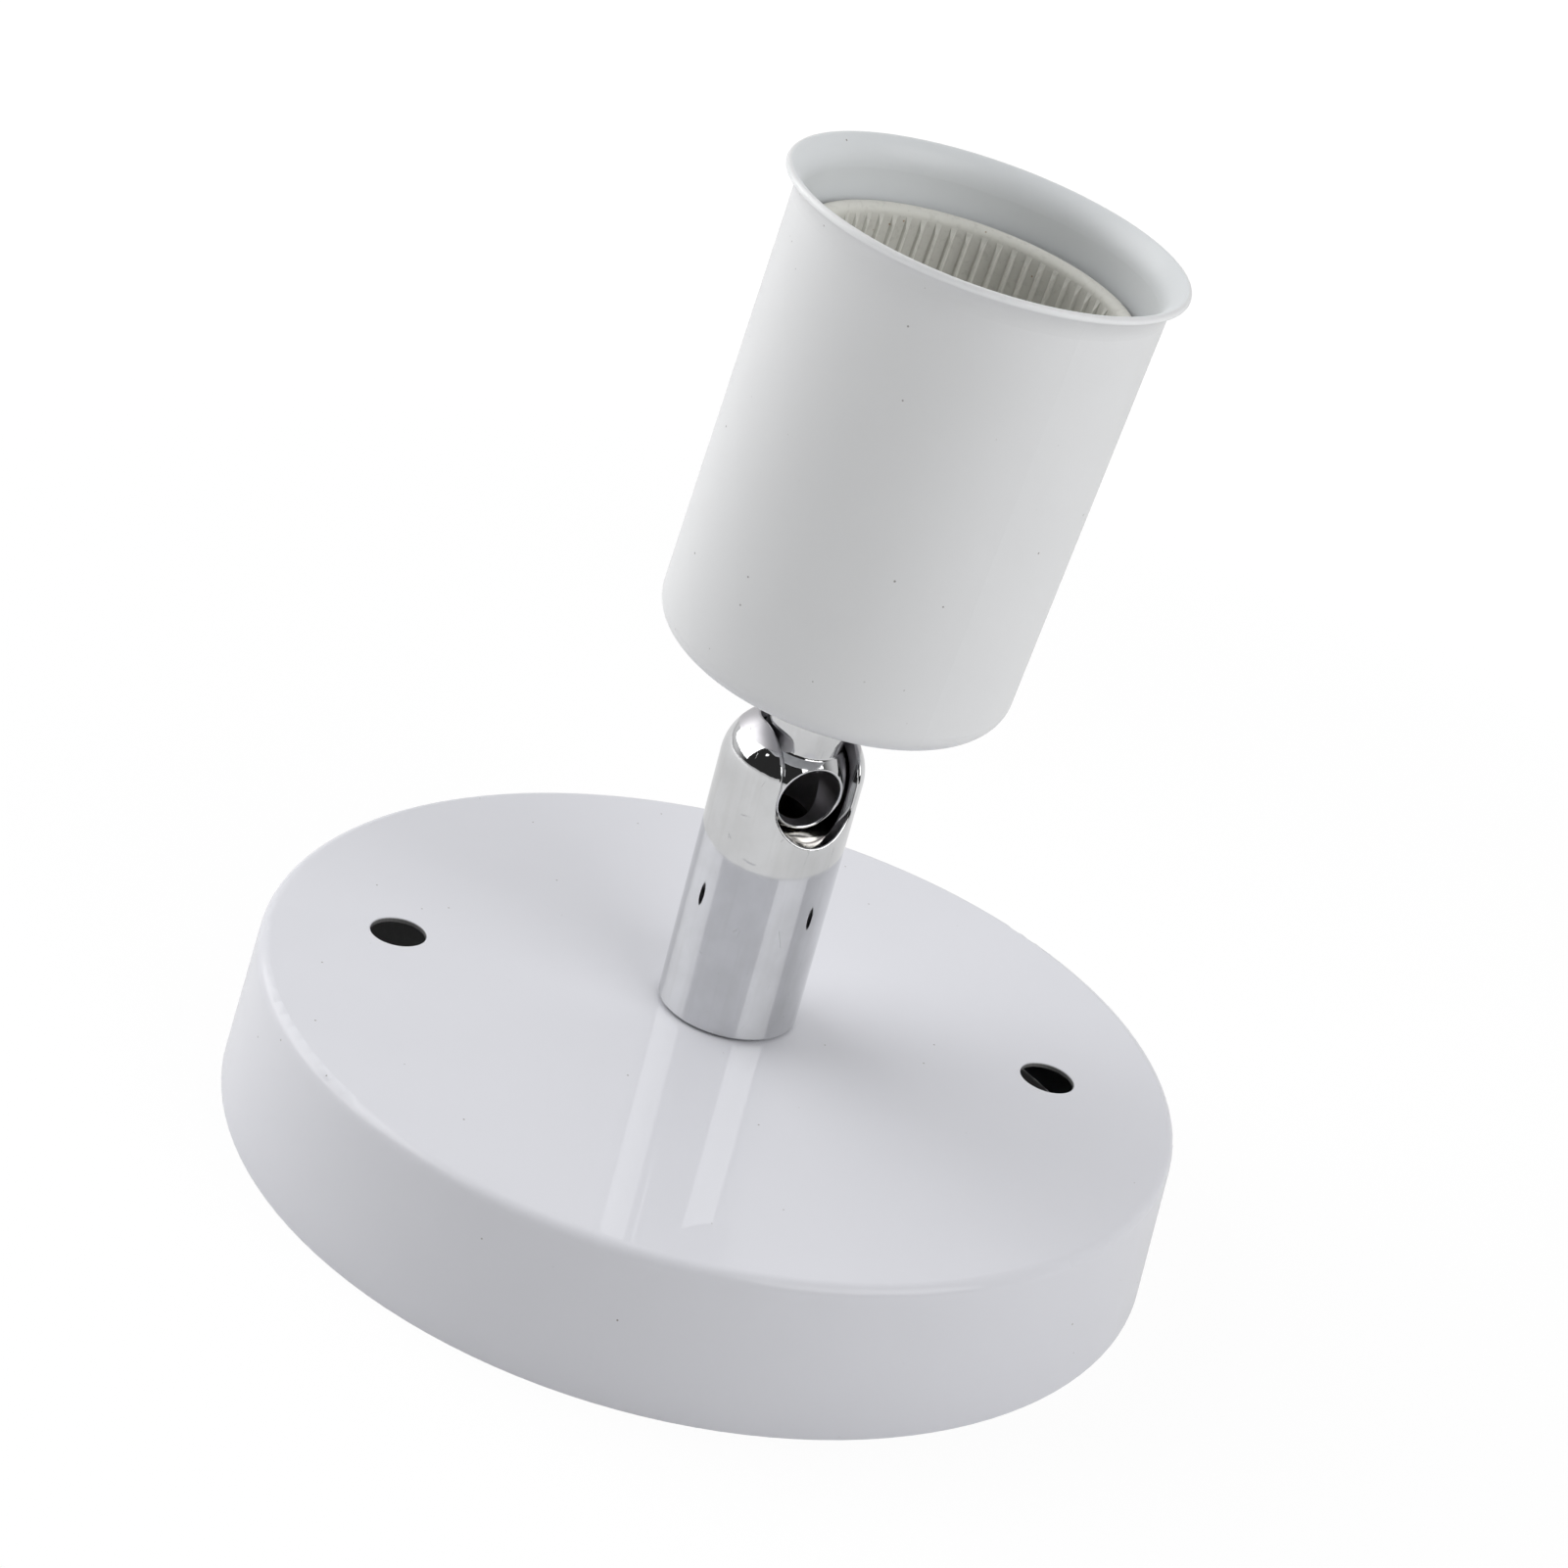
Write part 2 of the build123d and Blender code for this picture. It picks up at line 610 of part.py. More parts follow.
# Porcelain insert: a skirt, the well for the screw shell, and a base with pockets
porcelain_top = cup_top - porcelain_below_lip
shell_ledge = porcelain_top - skirt_depth
porcelain_floor = shell_ledge - shell_ledge_to_floor
shell_outer_radius = shell_bore_diameter / 2 + shell_wall
shell_well_diameter = 2 * (shell_outer_radius + hole_clearance)
with BuildPart() as porcelain_body:
    with BuildSketch(section(head_frame)):
        with BuildLine():
            Polyline(
                (0, porcelain_bottom_above_ball),
                (porcelain_diameter / 2, porcelain_bottom_above_ball),
                (porcelain_diameter / 2, porcelain_top),
                (skirt_bore_diameter / 2, porcelain_top),
                (skirt_bore_diameter / 2, shell_ledge),
                (shell_well_diameter / 2, shell_ledge),
                (shell_well_diameter / 2, porcelain_floor),
                (0, porcelain_floor),
                close=True,
            )
        make_face()
    revolve(axis=head_axis)
    fillet(circles(porcelain_body, skirt_bore_diameter, head_axis)[-1], skirt_mouth_rounding)
    fillet(circles(porcelain_body, porcelain_diameter, head_axis), porcelain_edge_rounding)
    chamfer(circles(porcelain_body, shell_well_diameter, head_axis)[-1], shell_bend_radius)
    # Ribs down the skirt's inner wall, each a little sunk in it, from under the rounded mouth, where they
    # rise out of the wall on a slope, to the ledge
    rib_base_width = rib_crest_width + 4 * rib_height / tan(radians(rib_side_angle))
    with BuildSketch(head_frame.offset(shell_ledge)):
        with PolarLocations(skirt_bore_diameter / 2, rib_count):
            Trapezoid(rib_base_width, 2 * rib_height, rib_side_angle, rotation=90)
    rib_top = porcelain_top - skirt_mouth_rounding
    extrude(amount=rib_top - shell_ledge)
    with BuildSketch(section(head_frame)):
        with BuildLine():
            Polyline(
                (skirt_bore_diameter / 2, rib_top),
                (skirt_bore_diameter / 2 - 2 * rib_height, rib_top - 2 * rib_height * rib_end_slope),
                (skirt_bore_diameter / 2 - 2 * rib_height, rib_top),
                close=True,
            )
        make_face()
    revolve(axis=head_axis, mode=Mode.SUBTRACT)
    # Pockets at both sides for the bracket's nuts, and the screws' holes under them
    nut_pocket_inner = bracket_screw_centre - square_nut_width / 2 - hole_clearance
    with BuildSketch(head_frame.offset(nut_pocket_height)):
        with GridLocations(nut_pocket_inner + porcelain_diameter, 0, 2, 1):
            Rectangle(porcelain_diameter - nut_pocket_inner, square_nut_width + 2 * hole_clearance)
    extrude(amount=square_nut_height + hole_clearance, mode=Mode.SUBTRACT)
    with BuildSketch(head_frame.offset(porcelain_bottom_above_ball)):
        with GridLocations(2 * bracket_screw_centre, 0, 2, 1):
            Circle(bracket_screw_diameter / 2 + hole_clearance)
    extrude(amount=nut_pocket_floor, mode=Mode.SUBTRACT)
    # Pockets for the two terminals, open below and outwards, with slots up to the contacts
    pocket_centre = (terminal_pocket_inner + porcelain_diameter) / 2
    with BuildSketch(head_frame.offset(porcelain_bottom_above_ball)):
        with GridLocations(0, 2 * pocket_centre, 1, 2):
            Rectangle(terminal_pocket_width, porcelain_diameter - terminal_pocket_inner)
    extrude(amount=terminal_pocket_height, mode=Mode.SUBTRACT)
    with BuildSketch(head_frame.offset(porcelain_bottom_above_ball)):
        with GridLocations(0, 2 * strip_leg_centre, 1, 2):
            Rectangle(strip_width + 2 * hole_clearance, strip_thickness + 2 * hole_clearance)
        with Locations((0, tongue_rivet_centre), (0, -shell_rivet_centre)):
            Circle(rivet_diameter / 2 + running_fit)
    extrude(amount=porcelain_floor - porcelain_bottom_above_ball, mode=Mode.SUBTRACT)
save(porcelain_body.part, "porcelain_body")

# Screw shell: thin pressed tube with a flange on the ledge, a drawn-in foot and a turned-in floor
shell_height = porcelain_floor
shell_foot_radius = shell_foot_bore_diameter / 2 + shell_wall
shell_shoulder_rise = shell_outer_radius - shell_foot_radius
with BuildPart() as screw_shell:
    with BuildSketch(section(head_frame)):
        with BuildLine():
            FilletPolyline(
                (shell_floor_bore_diameter / 2, shell_height),
                (shell_foot_radius, shell_height),
                (shell_foot_radius, shell_height + shell_shoulder_height - shell_shoulder_rise),
                (shell_outer_radius, shell_height + shell_shoulder_height),
                (shell_outer_radius, shell_ledge),
                (shell_flange_diameter / 2, shell_ledge),
                radius=shell_bend_radius,
            )
            offset(amount=shell_wall, side=Side.LEFT)
        make_face()
    revolve(axis=head_axis)
    with BuildSketch(head_frame.offset(shell_height)):
        with Locations((0, -shell_rivet_centre)):
            Circle(rivet_diameter / 2 + running_fit)
    extrude(amount=shell_wall, mode=Mode.SUBTRACT)
save(screw_shell.part, "screw_shell")

# Centre contact: a springy strip, riveted to the porcelain's floor, whose tongue rises to the axis
terminal_base = porcelain_bottom_above_ball
leg_outside = strip_leg_centre + strip_thickness / 2
with BuildPart() as centre_contact:
    with BuildSketch(cross_section(head_frame)):
        with BuildLine():
            FilletPolyline(
                (leg_outside, terminal_base),
                (leg_outside, porcelain_floor + strip_thickness),
                (strip_leg_centre - tongue_foot_length, porcelain_floor + strip_thickness),
                (tongue_flat_length / 2, porcelain_floor + tongue_rise),
                (-tongue_flat_length / 2, porcelain_floor + tongue_rise),
                radius=strip_bend_radius,
            )
            offset(amount=strip_thickness, side=Side.LEFT)
        make_face()
    extrude(amount=strip_width / 2, both=True)
    with BuildSketch(head_frame.offset(porcelain_floor)):
        with Locations((0, tongue_rivet_centre)):
            Circle(rivet_diameter / 2 + running_fit)
    extrude(amount=strip_thickness, mode=Mode.SUBTRACT)
save(centre_contact.part, "centre_contact")

# Shell contact: the strip that ties the shell's floor to the other terminal
shell_foot_height = shell_height + shell_wall
with BuildPart() as shell_contact:
    with BuildSketch(cross_section(head_frame)):
        with BuildLine():
            FilletPolyline(
                (strip_thickness / 2 - strip_leg_centre, terminal_base),
                (strip_thickness / 2 - strip_leg_centre, shell_foot_height + strip_thickness),
                (-strip_leg_centre - shell_foot_length, shell_foot_height + strip_thickness),
                radius=strip_bend_radius,
            )
            offset(amount=strip_thickness, side=Side.LEFT)
        make_face()
    extrude(amount=strip_width / 2, both=True)
    with BuildSketch(head_frame.offset(shell_foot_height)):
        with Locations((0, -shell_rivet_centre)):
            Circle(rivet_diameter / 2 + running_fit)
    extrude(amount=strip_thickness, mode=Mode.SUBTRACT)
save(shell_contact.part, "shell_contact")

# Rivets: one through the tongue's foot, one through the shell's floor, headed in the pockets
with BuildPart() as contact_rivets:
    for centre, head_seat in (
        (tongue_rivet_centre, porcelain_floor + strip_thickness),
        (-shell_rivet_centre, shell_foot_height + strip_thickness),
    ):
        with BuildSketch(head_frame.offset(head_seat)):
            with Locations((0, centre)):
                Circle(rivet_head_diameter / 2)
        extrude(amount=rivet_head_height)
        with BuildSketch(head_frame.offset(head_seat)):
            with Locations((0, centre)):
                Circle(rivet_diameter / 2)
        extrude(amount=terminal_base + terminal_pocket_height - head_seat)
save(contact_rivets.part, "contact_rivets")

# Terminals: brass blocks against the legs of the strips, with a hole for the lead and a screw
terminal_centre = leg_outside + terminal_depth / 2
terminal_middle = terminal_base + terminal_height / 2


def terminal(side):
    """One terminal block, on the side of the head that the sign gives."""
    with BuildPart() as block:
        with BuildSketch(head_frame.offset(terminal_base)):
            with Locations((0, side * terminal_centre)):
                Rectangle(terminal_width, terminal_depth)
                Circle(terminal_wire_hole_diameter / 2, mode=Mode.SUBTRACT)
        extrude(amount=terminal_height)
        with BuildSketch(section(head_frame)):
            with Locations((0, terminal_middle)):
                Circle(terminal_screw_diameter / 2 + running_fit)
        extrude(amount=-side * (terminal_centre + terminal_depth), mode=Mode.SUBTRACT)
    return block.part


save(terminal(1), "line_terminal")
save(terminal(-1), "neutral_terminal")

# Terminal screws: driven in from outside, their tips just short of the lead's hole
terminal_outside = leg_outside + terminal_depth
terminal_screw_tip = terminal_centre + terminal_wire_hole_diameter / 2
with BuildPart() as terminal_screws:
    for side in (1, -1):
        outside = section(head_frame).offset(-side * terminal_outside)
        with BuildSketch(outside):
            with Locations((0, terminal_middle)):
                Circle(terminal_screw_head_diameter / 2)
        extrude(amount=-side * terminal_screw_head_height)
        with BuildSketch(outside):
            with Locations((0, terminal_middle)):
                Circle(terminal_screw_diameter / 2)
        extrude(amount=side * (terminal_outside - terminal_screw_tip))
        with BuildSketch(section(head_frame).offset(-side * (terminal_outside + terminal_screw_head_height))):
            with Locations((0, terminal_middle)):
                Rectangle(terminal_screw_head_diameter, screw_slot_width)
        extrude(amount=side * screw_slot_depth, mode=Mode.SUBTRACT)
save(terminal_screws.part, "terminal_screws")
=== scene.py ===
"""The looks of a lamp holder that swivels and tilts: white canopy, chromed column and ball, white cup."""

from math import cos, pi, radians, sin

import bpy
from mathutils import Matrix, Vector


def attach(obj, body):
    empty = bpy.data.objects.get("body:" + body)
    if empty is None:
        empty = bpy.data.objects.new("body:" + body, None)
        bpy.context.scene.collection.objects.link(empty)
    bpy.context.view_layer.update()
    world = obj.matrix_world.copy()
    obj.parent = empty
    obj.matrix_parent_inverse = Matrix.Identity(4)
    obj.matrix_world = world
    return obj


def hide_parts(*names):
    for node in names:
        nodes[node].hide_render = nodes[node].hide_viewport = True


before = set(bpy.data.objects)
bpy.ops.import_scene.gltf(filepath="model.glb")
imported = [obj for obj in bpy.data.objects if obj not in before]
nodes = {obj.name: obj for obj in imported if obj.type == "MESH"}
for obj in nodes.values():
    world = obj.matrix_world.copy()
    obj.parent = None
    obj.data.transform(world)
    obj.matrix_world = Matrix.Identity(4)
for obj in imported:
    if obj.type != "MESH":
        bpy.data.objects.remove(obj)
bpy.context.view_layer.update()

# Camera: a portrait lens held 0.35 m away, looking down on the canopy and rolled a little, as in the
# photograph, so that the lamp holder seems to lean.
camera = bpy.data.objects.new("camera", bpy.data.cameras.new("camera"))
bpy.context.scene.collection.objects.link(camera)
bpy.context.scene.camera = camera
camera.data.lens = 61.68
camera.data.sensor_width = 36.0
camera.data.clip_start = 0.01
across = Vector((0.9702, 0.0119, 0.2420)).normalized()
onward = Vector((0.0871, 0.9149, -0.3943))
onward = (onward - across * onward.dot(across)).normalized()
upward = across.cross(onward)
camera_place = Matrix.Translation((-0.02873, -0.29808, 0.1790))
camera.matrix_world = camera_place @ Matrix((across, upward, -onward)).transposed().to_4x4()


# Table: a wide matt white board that the canopy lies on. The lens sees it as plain white with the lamp
# holder's soft shadow, and polished metal sees the same white, dimmed by the board's own shading.
class Field:
    """A number, a colour or a place on its way through a finish; arithmetic on it adds the finish's maths."""

    def __init__(self, finish, socket):
        self.finish = finish
        self.socket = socket

    def maths(self, operation, *terms):
        return self.finish.node("Math", {"operation": operation}, dict(enumerate(terms)))

    def __add__(self, other):
        return self.maths("ADD", self, other)

    def __sub__(self, other):
        return self.maths("SUBTRACT", self, other)

    def __rsub__(self, other):
        return self.maths("SUBTRACT", other, self)

    def __mul__(self, other):
        return self.maths("MULTIPLY", self, other)

    def __pow__(self, other):
        return self.maths("POWER", self, other)

    __radd__ = __add__
    __rmul__ = __mul__

    def most(self, other):
        return self.maths("MAXIMUM", self, other)

    def magnitude(self):
        return self.maths("ABSOLUTE", self)

    def output(self, name):
        """Another output of the node that this field comes from."""
        return Field(self.finish, self.socket.node.outputs[name])

    def rise(self, low, high):
        """0 up to the first value, 1 from the second and smooth in between; it falls where the first is the
        higher one.
        """
        settings = {"interpolation_type": "SMOOTHSTEP"}
        return self.finish.node("MapRange", settings, {"Value": self, "From Min": low, "From Max": high})

    def along(self, direction):
        """How far a place lies along a direction."""
        settings = {"operation": "DOT_PRODUCT"}
        return self.finish.node("VectorMath", settings, {0: self, 1: direction}, "Value")

    def seen_from(self, origin):
        """The same place, measured from another origin."""
        return self.finish.node("VectorMath", {"operation": "SUBTRACT"}, {0: self, 1: origin})

    def stretched(self, scale):
        """The same place with its axes stretched, for grain that runs one way."""
        return self.finish.node("VectorMath", {"operation": "MULTIPLY"}, {0: self, 1: scale})

    def length(self):
        """The distance of a place from its origin."""
        return self.finish.node("VectorMath", {"operation": "LENGTH"}, {0: self}, "Value")

    def off_axis(self, axis):
        """The distance of a place from an axis through its origin."""
        distance = self.length()
        height = self.along(axis)
        return (distance * distance - height * height).most(0.0) ** 0.5


class Finish:
    """A surface finish: one material, and the nodes that give its colour, gloss and relief."""

    def __init__(self, owner):
        owner.use_nodes = True
        self.owner = owner
        self.tree = owner.node_tree
        self.tree.nodes.clear()

    def node(self, kind, settings=None, values=None, output=0):
        """Adds one node: its settings first, then a value or a link for each socket."""
        made = self.tree.nodes.new("ShaderNode" + kind)
        for setting, choice in (settings or {}).items():
            setattr(made, setting, choice)
        for name, value in (values or {}).items():
            socket = made.inputs[name]
            if isinstance(value, Field):
                self.tree.links.new(value.socket, socket)
            elif socket.type == "RGBA" and len(value) == 3:
                socket.default_value = (*value, 1.0)
            else:
                socket.default_value = value
        return Field(self, made.outputs[output])

    def place(self):
        """The place on the piece, in metres from the middle of the canopy's open rim."""
        return self.node("TexCoord", output="Object")

    def clouds(self, place, grain, detail=2.0):
        """Unevenness from 0 to 1 whose patches are about this many metres wide."""
        return self.node("TexNoise", None, {"Vector": place, "Scale": 1 / grain, "Detail": detail})

    def blend(self, share, first, second):
        """One colour shading into another."""
        return self.node("Mix", {"data_type": "RGBA"}, {0: share, 6: first, 7: second}, 2)

    def relief(self, height, depth, below=None):
        """Unevenness of the surface, from a height of 0 to 1 and its depth in metres."""
        values = {"Height": height, "Distance": depth, "Strength": 1.0}
        if below is not None:
            values["Normal"] = below
        return self.node("Bump", None, values)

    def surface(self, **values):
        """Ends the finish in the surface shader and gives its material."""
        named = {name.replace("_", " "): value for name, value in values.items()}
        shader = self.node("BsdfPrincipled", None, named)
        self.node_into_output("OutputMaterial", shader)
        return self.owner

    def node_into_output(self, kind, shader):
        end = self.tree.nodes.new("ShaderNode" + kind)
        self.tree.links.new(shader.socket, end.inputs["Surface"])


table_reach = 6.0
canopy_rim = 0.0600
bpy.ops.mesh.primitive_circle_add(vertices=96, radius=table_reach, fill_type="NGON")
table = bpy.context.object
table.name = "table"
table.location.z = -0.00002

board = Finish(bpy.data.materials.new("table_board"))
looked_at = board.node("LightPath", output="Is Camera Ray")
mirrored = looked_at.output("Is Glossy Ray").most(looked_at.output("Is Transmission Ray"))
from_middle = board.place().length()
past_canopy = from_middle.rise(canopy_rim - 0.0005, canopy_rim)
far_off = from_middle.rise(0.20, 0.55)
# Under the canopy the lens sees the board glow faintly: painted light in the pan's shade. Past the canopy's
# rim the board is plain white.
white_and_painted_glow_share = 0.012 * looked_at + past_canopy * (looked_at * (0.888 + 0.10 * far_off) + mirrored * 0.35)
matt = board.node("BsdfDiffuse", None, {"Color": (0.74, 0.74, 0.74)})
white = board.node("Emission", None, {"Color": (1.0, 1.0, 1.0), "Strength": 1.03})
board.node_into_output(
    "OutputMaterial", board.node("MixShader", None, {0: white_and_painted_glow_share, 1: matt, 2: white})
)
table.data.materials.append(board.owner)

# Studio: a white backdrop behind the lamp holder, a dark room on the camera's side, two softboxes, one at the
# front right and one at the left, whose reflections stand as upright bands on polished metal, two fill lights
# that leave no reflection, and a small lamp that leaves a spark in the dark part of the reflection.
backdrop = 0.72
dim_room = 0.030
studio = bpy.data.worlds.new("studio")
bpy.context.scene.world = studio
bpy.context.scene.view_settings.view_transform = "Standard"
room = Finish(studio)
seen = room.node("LightPath", output="Is Camera Ray")
towards_backdrop = room.node("TexCoord", output="Generated").along((0.0958, 0.9954, 0.0)).rise(-0.3, 0.3)
room_light = dim_room + (backdrop - dim_room) * towards_backdrop
brightness = seen + (1.0 - seen) * room_light
room.node_into_output(
    "OutputWorld", room.node("Background", None, {"Color": (1.0, 1.0, 1.0), "Strength": brightness})
)

lit_point = Vector((0.0, 0.0, 0.06))
lamp_distance = 1.0


def softbox(name, heading, height_angle, width, height, brightness):
    """A rectangular lamp aimed at the lamp holder. Its heading is counted from X, and its own face is plain
    white at a brightness of 1.
    """
    lamp = bpy.data.objects.new(name, bpy.data.lights.new(name, "AREA"))
    bpy.context.scene.collection.objects.link(lamp)
    lamp.data.shape = "RECTANGLE"
    lamp.data.size = width
    lamp.data.size_y = height
    lamp.data.energy = brightness * pi * width * height
    lamp.visible_camera = False
    towards = Vector(
        (
            cos(radians(height_angle)) * cos(radians(heading)),
            cos(radians(height_angle)) * sin(radians(heading)),
            sin(radians(height_angle)),
        )
    )
    lamp.location = lit_point + towards * lamp_distance
    lamp.rotation_mode = "QUATERNION"
    lamp.rotation_quaternion = towards.to_track_quat("Z", "Y")
    return lamp


softbox("softbox_right", -43.5, 36.0, width=0.84, height=0.72, brightness=2.7)
softbox("fill_right", -46.0, 12.0, width=0.72, height=0.25, brightness=2.0).visible_glossy = False
softbox("softbox_left", 164.0, 32.0, width=1.10, height=1.00, brightness=2.3)
softbox("fill_left", 170.0, 8.0, width=0.60, height=0.25, brightness=2.4).visible_glossy = False
softbox("small_lamp", -145.0, 32.0, width=0.06, height=0.06, brightness=2.2)


# Canopy: a pan pressed from 0.6 mm steel sheet, coated with gloss white powder inside and out. The coat has
# melted to a mirror-like skin with a faint orange peel, and holds a few specks of dust.
def specks(finish, place, spacing, size, share):
    """Tiny scattered specks: 1 on a speck and 0 elsewhere."""
    cell = finish.node("TexVoronoi", None, {"Vector": place, "Scale": 1 / spacing})
    chosen = cell.output("Color").along((1.0, 0.0, 0.0)).rise(1.0 - share, 1.0 - 0.9 * share)
    return cell.rise(size / spacing, 0.5 * size / spacing) * chosen


micron = 0.000001
gloss = Finish(bpy.data.materials.new("gloss_white_powder_coat"))
place = gloss.place()
shade = gloss.clouds(place, 0.016)
dust = specks(gloss, place, spacing=0.0016, size=0.00016, share=0.05)
coat_white = gloss.blend(shade, (0.690, 0.695, 0.737), (0.714, 0.719, 0.761))
hole_place = 0.0420
hole_radius = 0.0035
beside_hole = place.along((1.0, 0.0, 0.0)).magnitude() - hole_place
from_hole = (beside_hole * beside_hole + place.along((0.0, 1.0, 0.0)) ** 2.0) ** 0.5
# The cut walls of the two screw holes are darkened almost to black: painted shade.
painted_shade_hole_wall = from_hole.rise(hole_radius + 0.00012, hole_radius - 0.00002)
coat_white = gloss.blend(painted_shade_hole_wall, coat_white, (0.16, 0.16, 0.16))
peel = gloss.relief(gloss.clouds(place, 0.0013, 1.0), 0.5 * micron)
peel = gloss.relief(gloss.clouds(place, 0.0070, 1.0), 2.2 * micron, peel)
canopy_material = gloss.surface(
    Base_Color=gloss.blend(dust, coat_white, (0.30, 0.29, 0.28)),
    Roughness=0.38 + 0.06 * gloss.clouds(place, 0.004),
    Specular_IOR_Level=0.2,
    Coat_Weight=0.45,
    Coat_Roughness=0.008,
    Normal=peel,
)


def finish_node(name, material):
    """Gives a CAD node its material."""
    nodes[name].data.materials.clear()
    nodes[name].data.materials.append(material)


finish_node("canopy", canopy_material)

# Stud: turned from brass bar, with a hollow lamp thread, a hub that the column turns on, a flange that
# holds the column down and a stop dog under it. Its thread passes the canopy and ends just below the nut.
def spin(name, profile, base, steps, pitch=1.0, depth=0.0):
    """A mesh spun round an axis from a closed profile of (radius, height, thread) in mm. Thread is 0 on a
    plain face and 1 where the thread is cut to its whole depth.
    """
    corners = len(profile)
    vertices = []
    for step in range(steps):
        turn = step / steps
        for radius, height, thread in profile:
            wave = abs(2 * ((height / pitch - turn) % 1.0) - 1)
            spun = radius - thread * depth * wave
            spot = Vector((spun * cos(2 * pi * turn), spun * sin(2 * pi * turn), height))
            vertices.append(base @ (spot / 1000))
    faces = []
    for step in range(steps):
        here = step * corners
        there = (step + 1) % steps * corners
        for corner in range(corners):
            after = (corner + 1) % corners
            faces.append((here + corner, there + corner, there + after, here + after))
    return skin(name, vertices, faces)


def skin(name, vertices, faces):
    """A smooth-shaded piece whose edges stay crisp where it turns sharply."""
    mesh = bpy.data.meshes.new(name)
    mesh.from_pydata(vertices, [], faces)
    mesh.shade_smooth()
    mesh.set_sharp_from_angle(angle=radians(35))
    piece = bpy.data.objects.new(name, mesh)
    bpy.context.scene.collection.objects.link(piece)
    return piece


def stand_for(piece, node, body, material):
    """Puts a finer piece in the place of a CAD node."""
    piece.data.materials.append(material)
    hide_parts(node)
    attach(piece, body)


def lathe_rings(finish, place, origin, axis, pitch):
    """The fine rings that a lathe leaves round an axis, from 0 to 1."""
    from_origin = place.seen_from(origin)
    radius = from_origin.off_axis(axis)
    height = from_origin.along(axis)
    return finish.clouds(finish.node("CombineXYZ", None, {"X": radius, "Z": height}), pitch, 3.0)


def turned_brass(name, origin, axis):
    """Turned brass: lathe rings, a dull film in patches and slightly uneven colour."""
    brass = Finish(bpy.data.materials.new(name))
    place = brass.place()
    rings = lathe_rings(brass, place, origin, axis, 0.00012)
    film = brass.clouds(place, 0.0035, 4.0)
    yellow = brass.blend(film, (0.74, 0.55, 0.27), (0.62, 0.45, 0.22))
    return brass.surface(
        Base_Color=yellow,
        Metallic=1.0,
        Roughness=0.20 + 0.16 * film + 0.08 * rings,
        Normal=brass.relief(rings, 4 * micron),
    )


upright = (0.0, 0.0, 1.0)
middle = (0.0, 0.0, 0.0)
stud_brass = turned_brass("turned_brass_upright", middle, upright)
stud_bore = 3.6
stud_end = 11.2
stud_shoulder = 19.2
stud_hub = 5.9
stud_flange = 24.8
stud_flange_top = 26.2
stud_rim = 7.1
broken_edge = 0.15
thread_crest = 5.0
thread_pitch = 1.0
thread_depth = 0.55
thread_start = stud_end + thread_depth
thread_end = stud_shoulder - 0.6
undercut = 4.6
stud_profile = [
    (stud_bore, stud_end, 0.0),
    (4.35, stud_end, 0.0),
    *[(thread_crest, thread_start + (thread_end - thread_start) * row / 96, 1.0) for row in range(97)],
    (undercut, stud_shoulder - 0.45, 0.0),
    (undercut, stud_shoulder, 0.0),
    (stud_hub, stud_shoulder, 0.0),
    (stud_hub, stud_flange, 0.0),
    (stud_rim, stud_flange, 0.0),
    (stud_rim, stud_flange_top - broken_edge, 0.0),
    (stud_rim - broken_edge, stud_flange_top, 0.0),
    (stud_bore + broken_edge, stud_flange_top, 0.0),
    (stud_bore, stud_flange_top - broken_edge, 0.0),
]
stud = spin("pivot_stud_threaded", stud_profile, Matrix.Identity(4), 144, thread_pitch, thread_depth)
slot_heading = radians(-61.5)
dog_sweep = radians(16)
dog_root = stud_hub - 0.2
dog_bottom = 23.5
dog_top = stud_flange + 0.05
dog_corners = ((dog_root, dog_bottom), (stud_rim, dog_bottom), (stud_rim, dog_top), (dog_root, dog_top))
dog_places = []
for side in range(9):
    turn = slot_heading + pi + dog_sweep * (side / 8 - 0.5)
    for radius, height in dog_corners:
        dog_places.append(Vector((radius * cos(turn), radius * sin(turn), height)) / 1000)
dog_faces = [(3, 2, 1, 0), (32, 33, 34, 35)]
for side in range(8):
    for edge in range(4):
        after = (edge + 1) % 4
        dog_faces.append((4 * side + edge, 4 * side + after, 4 * side + 4 + after, 4 * side + 4 + edge))
dog = skin("pivot_stud_dog", dog_places, dog_faces)
dog.data.materials.append(stud_brass)
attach(dog, "base")
stand_for(stud, "pivot_stud", "base", stud_brass)


# Canopy washer, lock washer and nut: zinc plated steel and a hardened toothed ring between them, tightened
# under the sheet so that the stud can't turn.
def zinc_plated(name):
    """Zinc plating: a bluish bright deposit with a faint rainbow of passivation and dull blotches."""
    zinc = Finish(bpy.data.materials.new(name))
    place = zinc.place()
    blotch = zinc.clouds(place, 0.0028, 5.0)
    hue = zinc.clouds(place, 0.0075).rise(0.35, 0.65)
    base = zinc.blend(hue, (0.60, 0.63, 0.67), (0.66, 0.65, 0.58))
    return zinc.surface(
        Base_Color=zinc.blend(blotch.rise(0.45, 0.75) * 0.5, base, (0.45, 0.47, 0.50)),
        Metallic=1.0,
        Roughness=0.26 + 0.22 * blotch,
        Normal=zinc.relief(zinc.clouds(place, 0.0003, 4.0), 6 * micron),
    )


def spring_steel(name):
    """Blued spring steel: dark grey, with a brown or blue temper tint and the grain of rolled strip."""
    steel = Finish(bpy.data.materials.new(name))
    place = steel.place()
    tint = steel.clouds(place, 0.004, 3.0)
    grain = steel.clouds(place.stretched((1.0, 12.0, 12.0)), 0.0016, 4.0)
    return steel.surface(
        Base_Color=steel.blend(tint.rise(0.4, 0.62), (0.20, 0.21, 0.24), (0.25, 0.21, 0.18)),
        Metallic=1.0,
        Roughness=0.30 + 0.18 * grain,
        Normal=steel.relief(grain, 3 * micron),
    )


